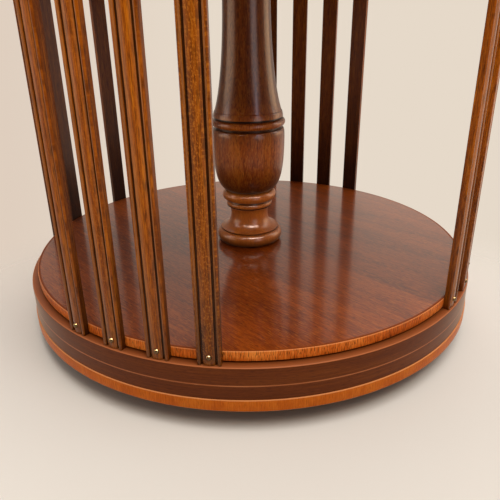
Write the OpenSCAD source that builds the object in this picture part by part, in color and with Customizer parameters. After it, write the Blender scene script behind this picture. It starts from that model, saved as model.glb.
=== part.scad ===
// Round revolving bookcase: a plinth on hidden castors, and a case of two tiers that turns on an iron spindle

/* [Plinth] */
// Outer diameter of the plinth wall
plinth_d = 500; // [440:5:560]
// Height of the plinth wall
plinth_h = 43; // [36:1:58]
// Thickness of the plinth wall
plinth_wall_t = 18; // [12:1:28]
// Thickness of the deck board inside the wall
deck_t = 15; // [12:1:20]
// Rounding of the plinth's top edge
plinth_round = 1.5; // [0.5:0.5:4]
// Height of the satinwood band at the foot of the wall
band_h = 11.4; // [8:0.2:20]
// How far the satinwood band stands out from the wall
band_proud = 1; // [0.4:0.2:3]
// Rounding of the satinwood band's edges
band_round = 0.8; // [0.2:0.2:1.6]
// Depth to which bands and lines are let into the wood
inlay_t = 1.6; // [1:0.2:3]
// Width of the boxwood lines
string_w = 1.2; // [0.8:0.2:3]
// Distance from the plinth's top edge down to the boxwood line
string_drop = 17.8; // [8:0.2:22]

/* [Shelves] */
// Running gap between the plinth and the lower shelf
turn_gap = 1.3; // [0.9:0.1:3]
// Thickness of the lower and middle shelves
shelf_t = 9.5; // [8:0.5:16]
// How far the shelf edges stand back from the plinth's face
shelf_inset = 7.5; // [4:0.5:14]
// Thickness of the satinwood band round each shelf
edge_band_t = 2.5; // [1.5:0.5:5]
// Rounding of the shelf edges
shelf_round = 0.8; // [0.4:0.2:2]
// Clear height of each tier
tier_h = 300; // [285:5:350]

/* [Top] */
// Thickness of the upper shelf, which carries the top board
top_shelf_t = 20; // [16:1:30]
// Thickness of the top board
top_t = 16; // [12:1:24]
// How far the top board overhangs the plinth's face
top_overhang = 5; // [2:1:20]
// Rounding of the top board's upper edge
top_round = 6; // [2:1:8]
// Rounding of the top board's lower edge
top_under_round = 3; // [1:1:4]
// Width of the satinwood band on the top board
top_band_w = 26; // [12:2:50]
// Distance from the top board's edge to the satinwood band
top_band_inset = 16; // [10:1:40]

/* [Slats] */
// Width of a slat
slat_w = 20.5; // [16:0.5:30]
// Thickness of a slat
slat_t = 6; // [5:0.5:10]
// Spacing of the slats in a group, along the shelf edge
slat_pitch = 43.5; // [34:0.5:52]
// Clearance between the slats and the plinth's top edge
slat_clear = 0.6; // [0.3:0.1:0.8]
// Width of the bead along each edge of a slat
bead_w = 3.6; // [2:0.1:5]
// Width of the groove beside each bead
quirk_w = 1.8; // [1:0.2:3]
// Depth of the groove beside each bead
quirk_d = 2.4; // [1.6:0.2:3.6]
// Rise of the crowned middle of a slat
crown_h = 1.2; // [0.3:0.1:1.5]

/* [Slat pins] */
// Diameter of a pin's round head
pin_head_d = 5; // [3:0.5:8]
// Height of a pin's round head
pin_head_h = 1.8; // [1:0.2:2.4]
// Diameter of a pin's shank
pin_d = 1.8; // [1.2:0.2:2.6]
// Length of a pin's shank
pin_len = 18; // [12:1:30]
// Height of the pins above the middle of a shelf's edge
pin_rise = 2; // [0:0.2:2.4]

/* [Column] */
// Radius of the round foot
foot_r = 38; // [35:0.5:44]
// Radius of the waist above the foot
waist_r = 21.5; // [19:0.5:25]
// Radius of the ring under the vase
ring_r = 31; // [28:0.5:34]
// Radius of the vase at its widest
vase_r = 40.6; // [36:0.2:48]
// Radius of the collar above the vase
collar_r = 41.1; // [37:0.1:49]
// Radius of the shaft at its thinnest
shaft_r = 24.7; // [20:0.1:30]
// Depth of the grooves above and below the collar
groove_in = 5; // [3:0.5:7]
// Radius of the spigots at the column's ends
spigot_r = 18; // [15:0.5:20]

/* [Spindle] */
// Diameter of the iron spindle
spindle_d = 16; // [12:0.5:18]
// Radial room round the spindle inside the columns
bore_room = 1; // [0.5:0.25:1.5]
// Radial running clearance of the bushes on the spindle
run_clear = 0.05; // [0.02:0.01:0.1]
// Wall of the bushes
bush_wall = 4; // [3:0.5:5]
// Length of the lower bush
bush_len = 24; // [16:1:28]
// Width of the spindle's collar
collar_w = 3; // [2:0.5:4]
// Height of the spindle's collar
collar_h = 4; // [3:0.5:5]
// Diameter of the spindle's lower end, which takes the nut
stub_d = 12; // [10:0.5:14]
// Radius of the flange under the deck
flange_r = 40; // [34:1:60]
// Thickness of the flange
flange_t = 5; // [4:0.5:8]
// Radius of the flange's boss
flange_boss_r = 15; // [12:0.5:18]
// Height of the flange's boss
flange_boss_h = 9; // [5:0.5:12]
// Width of the spindle nut across its flats
nut_w = 19; // [17:1:24]
// Thickness of the spindle nut
nut_t = 7; // [5:0.5:9]

/* [Bearing] */
// Diameter of a bearing ball
ball_d = 5; // [4:0.5:6]
// Radius of the circle on which the balls run
ball_circle_r = 26; // [20:0.5:28]
// Clearance between the balls and their grooves
ball_clear = 0.05; // [0.02:0.01:0.1]
// Depth of the ball grooves
groove_d = 0.6; // [0.3:0.1:1]
// Thickness of a race
race_t = 2.5; // [2:0.25:3.5]
// Width of a race on each side of the balls' circle
race_side = 8; // [6:0.5:9]
// Height by which the upper race stands out under the lower shelf
race_stand = 0.2; // [0:0.1:0.5]
// Thickness of the ball cage
cage_t = 1.2; // [0.8:0.2:1.6]
// Width of the ball cage on each side of the balls' circle
cage_side = 4.5; // [4:0.25:5.5]
// Clearance of the balls in the cage
cage_clear = 0.15; // [0.1:0.05:0.3]

/* [Castors] */
// Radius of the circle on which the castors stand
castor_circle_r = 188; // [150:1:194]
// Diameter of a castor wheel
wheel_d = 34; // [28:1:38]
// Width of a castor wheel
wheel_w = 14; // [10:1:16]
// Rounding of a wheel's tread
wheel_round = 2; // [1:0.5:4]
// Radius of a wheel's hub
hub_r = 7; // [6:0.5:8]
// Thickness of a wheel's rim
rim_t = 4; // [3:0.5:5]
// Depth of the hollow between a wheel's hub and rim
dish_d = 2.5; // [1:0.5:4]
// Distance of the wheel's axle behind the swivel pin
castor_trail = 14; // [10:0.5:16]
// Diameter of the wheel's axle
axle_d = 6; // [4:0.5:8]
// Clearance between the wheel's sides and the fork
wheel_side_clear = 0.8; // [0.4:0.1:1.5]
// Thickness of the fork's arms
arm_t = 2.5; // [2:0.25:3.5]
// Radius of the fork's eyes round the axle
eye_r = 6; // [5:0.5:8]
// Radius of the fork's crown
crown_r = 13; // [12:0.5:16]
// Thickness of the fork's crown
crown_t = 4; // [3:0.5:6]
// Room between the wheel and the crown
crown_room = 4; // [3:0.5:8]
// Diameter of the swivel pin
kingpin_d = 8; // [6:0.5:10]
// Radius of the swivel pin's head
kingpin_head_r = 6.5; // [6:0.25:7]
// Thickness of the swivel pin's head
kingpin_head_t = 2; // [1.5:0.25:2.5]
// Clearance above and below the crown
swivel_gap = 0.4; // [0.3:0.1:0.8]
// Height of the boss under the castor plate
castor_boss_h = 4.6; // [3:0.2:10]
// Radius of the castor plate
castor_plate_r = 24; // [21:0.5:30]
// Thickness of the castor plate
castor_plate_t = 3; // [2:0.5:5]

/* [Screws] */
// Diameter of the screws in the flange and the top
screw_d = 4.2; // [3:0.2:5]
// Diameter of the castor screws
castor_screw_d = 3.2; // [2.4:0.2:4]
// Distance of the top screws from the axis
top_screw_r = 170; // [80:5:200]
// Wood left in front of a screw's tip
tip_wood = 3.5; // [2:0.5:5]

/* [Hidden] */
$fn = 96;
round_steps = 6;
bead_steps = 12;
curve_steps = 14;
cut = 1;
fit_clear = 0.05;
group_count = 4;
slats_in_group = 4;
castor_count = 4;
ball_count = 14;
flange_screw_count = 4;
top_screw_count = 8;
slat_count = group_count * slats_in_group;

// Heights above the floor, from the castors up
axle_z = wheel_d / 2;
crown_z = wheel_d + crown_room;
castor_boss_z = crown_z + crown_t + swivel_gap;
castor_plate_z = castor_boss_z + castor_boss_h;
deck_z = castor_plate_z + castor_plate_t;
ledge_z = deck_z + deck_t;
plinth_z = ledge_z - plinth_h;
lower_shelf_z = ledge_z + turn_gap;
lower_top_z = lower_shelf_z + shelf_t;
middle_shelf_z = lower_top_z + tier_h;
middle_top_z = middle_shelf_z + shelf_t;
top_shelf_z = middle_top_z + tier_h;
top_board_z = top_shelf_z + top_shelf_t;
top_z = top_board_z + top_t;

// Radii from the axis out
plinth_r = plinth_d / 2;
plinth_in_r = plinth_r - plinth_wall_t;
shelf_r = plinth_r - shelf_inset;
board_r = shelf_r - edge_band_t;
top_r = plinth_r + top_overhang;
spindle_r = spindle_d / 2;
bush_r = spindle_r + bush_wall;
column_bore_r = spindle_r + bore_room;
spindle_collar_r = spindle_r + collar_w;
stub_r = stub_d / 2;

// Bearing between the deck and the lower shelf
race_in_r = ball_circle_r - race_side;
race_out_r = ball_circle_r + race_side;
upper_race_z = lower_shelf_z - race_stand;
upper_race_top_z = upper_race_z + race_t;
ball_z = upper_race_z - ball_d / 2 - ball_clear + groove_d;
lower_race_z = 2 * ball_z - upper_race_top_z;
race_well = ledge_z - lower_race_z;

// Spindle parts below the deck and above the upper column
flange_z = deck_z - flange_t;
flange_boss_z = flange_z - flange_boss_h;
nut_z = flange_boss_z - nut_t;
stub_z = nut_z - 2;
lower_spigot = lower_top_z - upper_race_top_z;
half_spigot = shelf_t / 2;
top_spigot = top_shelf_t * 0.4;
upper_bush_z = top_shelf_z + top_spigot;
spindle_top_z = top_board_z - 1;

// Slats and their pins
seat_x = shelf_r + fit_clear;
slat_z = ledge_z + slat_clear;
slat_len = top_board_z - slat_z;
slat_step = 2 * asin(slat_pitch / shelf_r / 2);
group_step = 360 / group_count;
reed_half = slat_w / 2 - bead_w - quirk_w;
reed_r = (pow(reed_half, 2) + pow(crown_h, 2)) / (2 * crown_h);
pin_heights = [
    pin_height(lower_shelf_z, shelf_t), pin_height(middle_shelf_z, shelf_t), pin_height(top_shelf_z, top_shelf_t)
];
pin_dome_r = (pow(pin_head_d / 2, 2) + pow(pin_head_h, 2)) / (2 * pin_head_h);

// Screws: circles on which they stand, and how far they bite
flange_screw_r = (flange_boss_r + flange_r) / 2;
flange_screw_bite = deck_t - race_well - tip_wood / 2;
castor_screw_r = (castor_plate_r + crown_r) / 2;
castor_screw_bite = deck_t - tip_wood;
top_screw_bite = top_t - inlay_t - tip_wood;
arm_y = wheel_w / 2 + wheel_side_clear;

function two_digits(n) = n < 10 ? str("0", n) : str(n);
function slat_name(i) = str("slat_", two_digits(i + 1));
function pin_height(z, t) = z + t / 2 + pin_rise;
function castor_name(piece, k) = str("castor_", piece, "_", k + 1);
function slat_angle(i) = group_step * (floor(i / slats_in_group) + 0.5)
    + slat_step * (i % slats_in_group - (slats_in_group - 1) / 2);

CASTOR_PIECES = ["plate", "fork", "axle", "wheel"];

// Outline helpers: [radius, height] points, read from the bottom up
function corner(c, r, from, to) = r <= 0 ? [c]
    : [for (i = [0:round_steps]) let(a = from + (to - from) * i / round_steps) c + r * [cos(a), sin(a)]];
function ring_outline(r_in, r_out, z0, z1, low, high) = concat(
    [[r_in, z0]],
    corner([r_out - low, z0 + low], low, -90, 0),
    corner([r_out - high, z1 - high], high, 0, 90),
    [[r_in, z1]]
);
function bead(z0, z1, r, r_max) = [for (i = [0:bead_steps]) let(a = 180 * i / bead_steps)
    [r + (r_max - r) * sin(a), (z0 + z1) / 2 - (z1 - z0) / 2 * cos(a)]];
function curve(a, b, c, d) = [for (i = [0:curve_steps]) let(t = i / curve_steps, s = 1 - t)
    s * s * s * a + 3 * s * s * t * b + 3 * s * t * t * c + t * t * t * d];

// Turned outline of a column of height h: foot, waist, ring, vase, collar, shaft and cap
function column_outline(h) = concat(
    bead(0.6, 15, foot_r - 5, foot_r),
    [[foot_r - 4.5, 15.8], [foot_r - 4.5, 17]],
    curve([foot_r - 4.5, 17], [foot_r - 12, 18.5], [waist_r, 24], [waist_r, 33]),
    curve([waist_r, 34], [waist_r, 39], [waist_r + 1, 42], [waist_r + 4.5, 43]),
    bead(43.6, 48.4, ring_r - 6, ring_r - 4.5),
    [[ring_r - 6.2, 49], [ring_r - 6.2, 50.2]],
    bead(50.6, 61.8, ring_r - 5, ring_r),
    [[ring_r - 5, 63]],
    curve([vase_r - 13.1, 63.2], [vase_r - 3.6, 68], [vase_r + 0.2, 88], [vase_r, 124]),
    curve([vase_r, 125], [vase_r, 129], [vase_r - 0.4, 131.4], [vase_r - 1.6, 132.4]),
    [[vase_r - groove_in, 133], [vase_r - groove_in, 134.8]],
    bead(135.2, 143, collar_r - 3.5, collar_r),
    [[collar_r - groove_in, 143.4], [collar_r - groove_in, 144.8]],
    curve([collar_r - 2.4, 145.2], [collar_r - 2.5, 148], [collar_r - 3.2, 150], [collar_r - 3.6, 151.2]),
    curve([collar_r - 4.2, 151.6], [collar_r - 9.3, 167], [shaft_r + 0.7, 206], [shaft_r, h - 32]),
    bead(h - 31, h - 25, shaft_r, shaft_r + 3),
    curve([shaft_r, h - 24], [shaft_r, h - 19], [foot_r - 10, h - 17], [foot_r - 4.5, h - 16]),
    [[foot_r - 4.5, h - 14.6]],
    bead(h - 14, h - 0.6, foot_r - 5, foot_r)
);

module ring(r_in, r_out, z0, z1, low = 0, high = 0) {
    rotate_extrude() polygon(ring_outline(r_in, r_out, z0, z1, low, high));
}

module at_slats(distance, z) {
    for (i = [0:slat_count - 1]) rotate(slat_angle(i)) translate([distance, 0, z]) rotate([0, 90, 0]) children();
}

module on_circle(count, r, start = 0) {
    for (i = [0:count - 1]) rotate(start + 360 * i / count) translate([r, 0, 0]) children();
}

module at_castors() {
    for (k = [0:castor_count - 1]) at_castor(k) children();
}

module at_castor(k) {
    rotate(group_step * (k + 0.5)) translate([castor_circle_r, 0, 0]) rotate(90) children();
}

// Holes for the pins that hold the slats, at height z
module pin_holes(z) {
    at_slats(seat_x + slat_t - pin_len, z) cylinder(d = pin_d + 2 * fit_clear, h = pin_len + cut);
}

// Countersunk screw that points up from z = 0, and the room for it
module screw(d, length) {
    cylinder(d1 = 2 * d, d2 = d, h = d / 2);
    cylinder(d = d, h = length);
}

module screw_room(d, length) {
    cylinder(d1 = 2 * d + 2 * fit_clear, d2 = d + 2 * fit_clear, h = d / 2);
    cylinder(d = d + 2 * fit_clear, h = length + fit_clear);
}

module flange_screw_places() {
    translate([0, 0, flange_z]) on_circle(flange_screw_count, flange_screw_r, 45) children();
}

module castor_screw_places() {
    translate([0, 0, castor_plate_z]) at_castors() on_circle(4, castor_screw_r, 45) children();
}

module top_screw_places() {
    translate([0, 0, top_shelf_z]) on_circle(top_screw_count, top_screw_r, 180 / top_screw_count) children();
}

module flange_screw_room() {
    flange_screw_places() screw_room(screw_d, flange_t + flange_screw_bite);
}

module castor_screw_room() {
    castor_screw_places() screw_room(castor_screw_d, castor_plate_t + castor_screw_bite);
}

module top_screw_room() {
    top_screw_places() screw_room(screw_d, top_shelf_t + top_screw_bite);
}

// Plinth
module plinth_wall() {
    color("#5b2a14") difference() {
        ring(plinth_in_r, plinth_r, plinth_z, ledge_z, 0, plinth_round);
        ring(plinth_r - inlay_t, plinth_r + cut, plinth_z - cut, plinth_z + band_h);
        string_ring(plinth_r + cut);
    }
}

module plinth_deck() {
    color("#6b3a20") difference() {
        ring(spindle_collar_r + 1, plinth_in_r, deck_z, ledge_z);
        ring(0, race_out_r + fit_clear, lower_race_z, ledge_z + cut);
        flange_screw_room();
        castor_screw_room();
    }
}

module plinth_crossband() {
    color("#a65018") ring(plinth_r - inlay_t, plinth_r + band_proud, plinth_z, plinth_z + band_h, band_round, band_round);
}

module string_ring(r_out) {
    string_z = ledge_z - string_drop;
    ring(plinth_r - inlay_t, r_out, string_z - string_w / 2, string_z + string_w / 2);
}

module plinth_string() {
    color("#c07a48") string_ring(plinth_r);
}

// Spindle and what holds it under the deck
module spindle() {
    color("#3a3836") {
        translate([0, 0, stub_z]) cylinder(r = stub_r, h = deck_z - stub_z);
        translate([0, 0, deck_z]) cylinder(r = spindle_collar_r, h = collar_h);
        translate([0, 0, deck_z]) cylinder(r = spindle_r, h = spindle_top_z - deck_z);
    }
}

module spindle_flange() {
    color("#2f2e2d") difference() {
        union() {
            translate([0, 0, flange_z]) cylinder(r = flange_r, h = flange_t);
            translate([0, 0, flange_boss_z]) cylinder(r = flange_boss_r, h = flange_boss_h + flange_t / 2);
        }
        translate([0, 0, flange_boss_z - cut]) cylinder(r = stub_r + fit_clear, h = deck_z - flange_boss_z + 2 * cut);
        flange_screw_room();
    }
}

module spindle_nut() {
    color("#55524f") translate([0, 0, nut_z]) difference() {
        cylinder(d = nut_w / cos(30), h = nut_t, $fn = 6);
        translate([0, 0, -cut]) cylinder(r = stub_r + fit_clear, h = nut_t + 2 * cut);
    }
}

module flange_screws() {
    color("#77736e") flange_screw_places() screw(screw_d, flange_t + flange_screw_bite);
}

// Ball bearing
module ball_groove() {
    rotate_extrude() translate([ball_circle_r, ball_z]) circle(r = ball_d / 2 + ball_clear);
}

module race(z) {
    color("#8d8a86") difference() {
        ring(race_in_r, race_out_r, z, z + race_t);
        ball_groove();
    }
}

module lower_race() {
    race(lower_race_z);
}

module upper_race() {
    race(upper_race_z);
}

module ball_cage() {
    color("#b08d4a") difference() {
        ring(ball_circle_r - cage_side, ball_circle_r + cage_side, ball_z - cage_t / 2, ball_z + cage_t / 2);
        on_circle(ball_count, ball_circle_r) translate([0, 0, ball_z - cage_t])
            cylinder(d = ball_d + 2 * cage_clear, h = 2 * cage_t);
    }
}

module bearing_balls() {
    color("#c9c7c4") on_circle(ball_count, ball_circle_r) translate([0, 0, ball_z]) sphere(d = ball_d);
}

// Bushes that run on the spindle
module bush(z, length) {
    color("#b08d4a") ring(spindle_r + run_clear, bush_r, z, z + length);
}

module lower_bush() {
    bush(upper_race_top_z, bush_len);
}

module upper_bush() {
    bush(upper_bush_z, top_board_z - upper_bush_z);
}

// Shelves
module shelf_board(z, t) {
    difference() {
        ring(spigot_r, board_r, z, z + t);
        pin_holes(pin_height(z, t));
    }
}

module shelf_band(z, t) {
    color("#a8501e") difference() {
        ring(board_r, shelf_r, z, z + t, shelf_round, shelf_round);
        pin_holes(pin_height(z, t));
    }
}

module lower_shelf() {
    color("#7c3b1e") difference() {
        shelf_board(lower_shelf_z, shelf_t);
        ring(0, race_out_r + fit_clear, lower_shelf_z - cut, upper_race_top_z);
    }
}

module lower_shelf_band() {
    shelf_band(lower_shelf_z, shelf_t);
}

module middle_shelf() {
    color("#7c3b1e") shelf_board(middle_shelf_z, shelf_t);
}

module middle_shelf_band() {
    shelf_band(middle_shelf_z, shelf_t);
}

module top_shelf() {
    color("#7c3b1e") difference() {
        union() {
            shelf_board(top_shelf_z, top_shelf_t);
            ring(bush_r, spigot_r + cut, upper_bush_z, top_board_z);
        }
        top_screw_room();
    }
}

module top_shelf_band() {
    shelf_band(top_shelf_z, top_shelf_t);
}

// Columns
module column(z, low_spigot, high_spigot) {
    translate([0, 0, z]) rotate_extrude() polygon(concat(
        [[column_bore_r, -low_spigot], [spigot_r, -low_spigot], [spigot_r, 0]],
        column_outline(tier_h),
        [[spigot_r, tier_h], [spigot_r, tier_h + high_spigot], [column_bore_r, tier_h + high_spigot]]
    ));
}

module lower_column() {
    color("#4a1e0c") difference() {
        column(lower_top_z, lower_spigot, half_spigot);
        ring(0, bush_r, upper_race_top_z - cut, upper_race_top_z + bush_len);
    }
}

module upper_column() {
    color("#4a1e0c") column(middle_top_z, half_spigot, top_spigot);
}

// Top
module top_board() {
    color("#7c3b1e") difference() {
        ring(0, top_r, top_board_z, top_z, top_under_round, top_round);
        ring(top_band_in_r() - string_w, top_band_out_r() + string_w, top_z - inlay_t, top_z + cut);
        top_screw_room();
    }
}

function top_band_out_r() = top_r - top_band_inset;
function top_band_in_r() = top_band_out_r() - top_band_w;

module top_crossband() {
    color("#b0602a") ring(top_band_in_r(), top_band_out_r(), top_z - inlay_t, top_z);
}

module top_strings() {
    color("#c07a48") for (r = [top_band_in_r() - string_w, top_band_out_r()])
        ring(r, r + string_w, top_z - inlay_t, top_z);
}

module top_screws() {
    color("#77736e") top_screw_places() screw(screw_d, top_shelf_t + top_screw_bite);
}

// Slats: section drawn with its back at x = 0 and its moulded face at x = slat_t
module slat_section() {
    difference() {
        union() {
            translate([0, -slat_w / 2]) square([slat_t - bead_w / 2, slat_w]);
            for (side = [-1, 1]) translate([slat_t - bead_w / 2, side * (slat_w - bead_w) / 2]) circle(d = bead_w);
            intersection() {
                translate([slat_t - reed_r, 0]) circle(r = reed_r);
                translate([0, -reed_half]) square([slat_t, 2 * reed_half]);
            }
        }
        for (side = [-1, 1]) translate([slat_t - quirk_d + quirk_w / 2, side * (reed_half + quirk_w / 2)]) {
            circle(d = quirk_w);
            translate([0, -quirk_w / 2]) square([quirk_d, quirk_w]);
        }
    }
}

module slat(i) {
    color("#8a4616") rotate(slat_angle(i)) difference() {
        translate([seat_x, 0, slat_z]) linear_extrude(slat_len) slat_section();
        for (z = pin_heights) translate([seat_x - cut, 0, z]) rotate([0, 90, 0])
            cylinder(d = pin_d + 2 * fit_clear, h = slat_t + 2 * cut);
    }
}

module slat_pin() {
    rotate_extrude() intersection() {
        translate([0, pin_head_h - pin_dome_r]) circle(r = pin_dome_r);
        square([pin_head_d, pin_head_h]);
    }
    translate([0, 0, -pin_len + fit_clear]) cylinder(d = pin_d, h = pin_len);
}

module slat_pins() {
    color("#b58a4a") for (z = pin_heights) at_slats(seat_x + slat_t, z) slat_pin();
}

// Castors, drawn with the swivel pin on the z axis and the wheel trailing along x
module castor_plate() {
    color("#9c7a3c") difference() {
        union() {
            translate([0, 0, castor_plate_z]) cylinder(r = castor_plate_r, h = castor_plate_t);
            translate([0, 0, castor_boss_z]) cylinder(r = crown_r - 2, h = castor_boss_h + castor_plate_t / 2);
            translate([0, 0, crown_z - swivel_gap]) cylinder(d = kingpin_d, h = deck_z - crown_z);
            translate([0, 0, crown_z - swivel_gap - kingpin_head_t]) cylinder(r = kingpin_head_r, h = kingpin_head_t);
        }
        translate([0, 0, castor_plate_z]) on_circle(4, castor_screw_r, 45)
            screw_room(castor_screw_d, castor_plate_t + cut);
    }
}

module fork_arm() {
    axis = [castor_trail, axle_z - crown_z];
    across = [-axis[1], axis[0]] / norm(axis);
    top_half = sqrt(pow(crown_r, 2) - pow(arm_y + arm_t, 2));
    translate([castor_trail, axle_z]) circle(r = eye_r);
    polygon([
        [-top_half, crown_z + crown_t], [top_half, crown_z + crown_t],
        [castor_trail, axle_z] + across * eye_r, [castor_trail, axle_z] - across * eye_r
    ]);
}

module castor_fork() {
    color("#a58242") difference() {
        union() {
            translate([0, 0, crown_z]) cylinder(r = crown_r, h = crown_t);
            for (y = [-arm_y, arm_y + arm_t]) translate([0, y, 0]) rotate([90, 0, 0]) linear_extrude(arm_t) fork_arm();
        }
        translate([0, 0, crown_z - cut]) cylinder(d = kingpin_d + 2 * run_clear, h = crown_t + 2 * cut);
        axle_line(arm_y + arm_t + cut) cylinder(d = axle_d + 2 * fit_clear, h = 2 * (arm_y + arm_t + cut));
    }
}

module axle_line(y) {
    translate([castor_trail, y, axle_z]) rotate([90, 0, 0]) children();
}

module castor_axle() {
    axle_half = arm_y + arm_t;
    color("#8d8a86") {
        axle_line(axle_half) cylinder(d = axle_d, h = 2 * axle_half);
        for (y = [axle_half + 1, -axle_half]) axle_line(y) cylinder(d = axle_d + 3, h = 1);
    }
}

module castor_wheel() {
    bore_r = axle_d / 2 + run_clear;
    rim = wheel_w / 2;
    rim_r = wheel_d / 2 - rim_t;
    web = rim - dish_d;
    color("#3b3632") axle_line(0) rotate_extrude() polygon(concat(
        [[bore_r, -rim], [hub_r, -rim], [hub_r + 1, -web], [rim_r - 1, -web], [rim_r, -rim]],
        corner([wheel_d / 2 - wheel_round, wheel_round - rim], wheel_round, -90, 0),
        corner([wheel_d / 2 - wheel_round, rim - wheel_round], wheel_round, 0, 90),
        [[rim_r, rim], [rim_r - 1, web], [hub_r + 1, web], [hub_r, rim], [bore_r, rim]]
    ));
}

module castor_screws() {
    color("#9c7a3c") castor_screw_places() screw(castor_screw_d, castor_plate_t + castor_screw_bite);
}

plinth_wall();
plinth_deck();
plinth_crossband();
plinth_string();
spindle();
spindle_flange();
spindle_nut();
flange_screws();
lower_race();
ball_cage();
bearing_balls();
upper_race();
lower_shelf();
lower_shelf_band();
lower_bush();
lower_column();
middle_shelf();
middle_shelf_band();
upper_column();
top_shelf();
top_shelf_band();
upper_bush();
top_board();
top_crossband();
top_strings();
top_screws();
slat_pins();
castor_screws();
for (i = [0:slat_count - 1]) slat(i);
for (k = [0:castor_count - 1]) {
    at_castor(k) castor_plate();
    at_castor(k) castor_fork();
    at_castor(k) castor_axle();
    at_castor(k) castor_wheel();
}
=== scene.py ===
import math

import bmesh
import bpy
from mathutils import Matrix, Vector


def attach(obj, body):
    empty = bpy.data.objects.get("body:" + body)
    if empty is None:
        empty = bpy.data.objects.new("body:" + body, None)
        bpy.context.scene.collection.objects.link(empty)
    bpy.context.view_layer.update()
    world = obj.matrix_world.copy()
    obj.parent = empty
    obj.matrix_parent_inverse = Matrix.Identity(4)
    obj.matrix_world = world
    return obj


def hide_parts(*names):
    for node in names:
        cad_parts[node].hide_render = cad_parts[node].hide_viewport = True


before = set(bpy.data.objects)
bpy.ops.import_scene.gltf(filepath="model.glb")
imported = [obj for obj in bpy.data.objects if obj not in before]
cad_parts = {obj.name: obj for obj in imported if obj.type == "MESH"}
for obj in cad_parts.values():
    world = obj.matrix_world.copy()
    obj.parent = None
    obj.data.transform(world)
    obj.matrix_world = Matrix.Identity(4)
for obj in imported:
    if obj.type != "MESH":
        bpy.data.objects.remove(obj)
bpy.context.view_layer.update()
scene = bpy.context.scene
mm = 0.001  # pieces and patterns below are in millimetres, the studio is in metres
print("frame loaded:", len(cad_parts), "solids")

# Heights and radii that the pieces share, as the solids have them
case = {
    "plinthLow": 22.0, "ledge": 65.0, "plinthR": 250.0, "plinthInR": 232.0,
    "shelfR": 242.5, "boardR": 240.0, "spigotR": 18.0, "tier": 300.0,
    "lowerShelf": (66.3, 75.8), "middleShelf": (375.8, 385.3),
    "topShelf": (685.3, 705.3), "topBoard": (705.3, 721.3),
    "facets": 192,  # round each of the big pieces
}


def toLinear(hexColour):
    parts = [int(hexColour[k:k + 2], 16) / 255 for k in (1, 3, 5)]
    return [c / 12.92 if c <= 0.04045 else ((c + 0.055) / 1.055) ** 2.4 for c in parts] + [1.0]


def addNode(tree, kind, settings, sockets):
    node = tree.nodes.new(kind)
    for name, value in settings.items():
        if name == "stops":  # first and last stop take the two elements that a ramp starts with
            for element, (place, colour) in zip(node.color_ramp.elements, (value[0], value[-1])):
                element.position = place
                element.color = toLinear(colour)
            for place, colour in value[1:-1]:
                node.color_ramp.elements.new(place).color = toLinear(colour)
        else:
            setattr(node, name, value)
    for name, value in sockets.items():
        if isinstance(value, bpy.types.NodeSocket):
            tree.links.new(value, node.inputs[name])
        else:
            node.inputs[name].default_value = value
    return node


mixA, mixB, mixOut = 6, 7, 2  # colour sockets of a Mix node

# What the woods share. Sheen is the haze of old polish, seen edge on
plainWood = {
    "detail": {"figure": 3, "streak": 3, "pore": 1, "fleck": 2, "ripple": 1}, "noiseRough": 0.55,
    "marks": [], "poreHeight": 0.1, "rippleBump": 0.2, "rippleHeight": 0.05, "ior": 1.5,
    "coat": 0.0, "coatRough": 0.15, "coatIor": 1.5,
    "sheen": 0.0, "sheenRough": 0.3, "sheenTint": "#ffe4c4",
}


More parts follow.
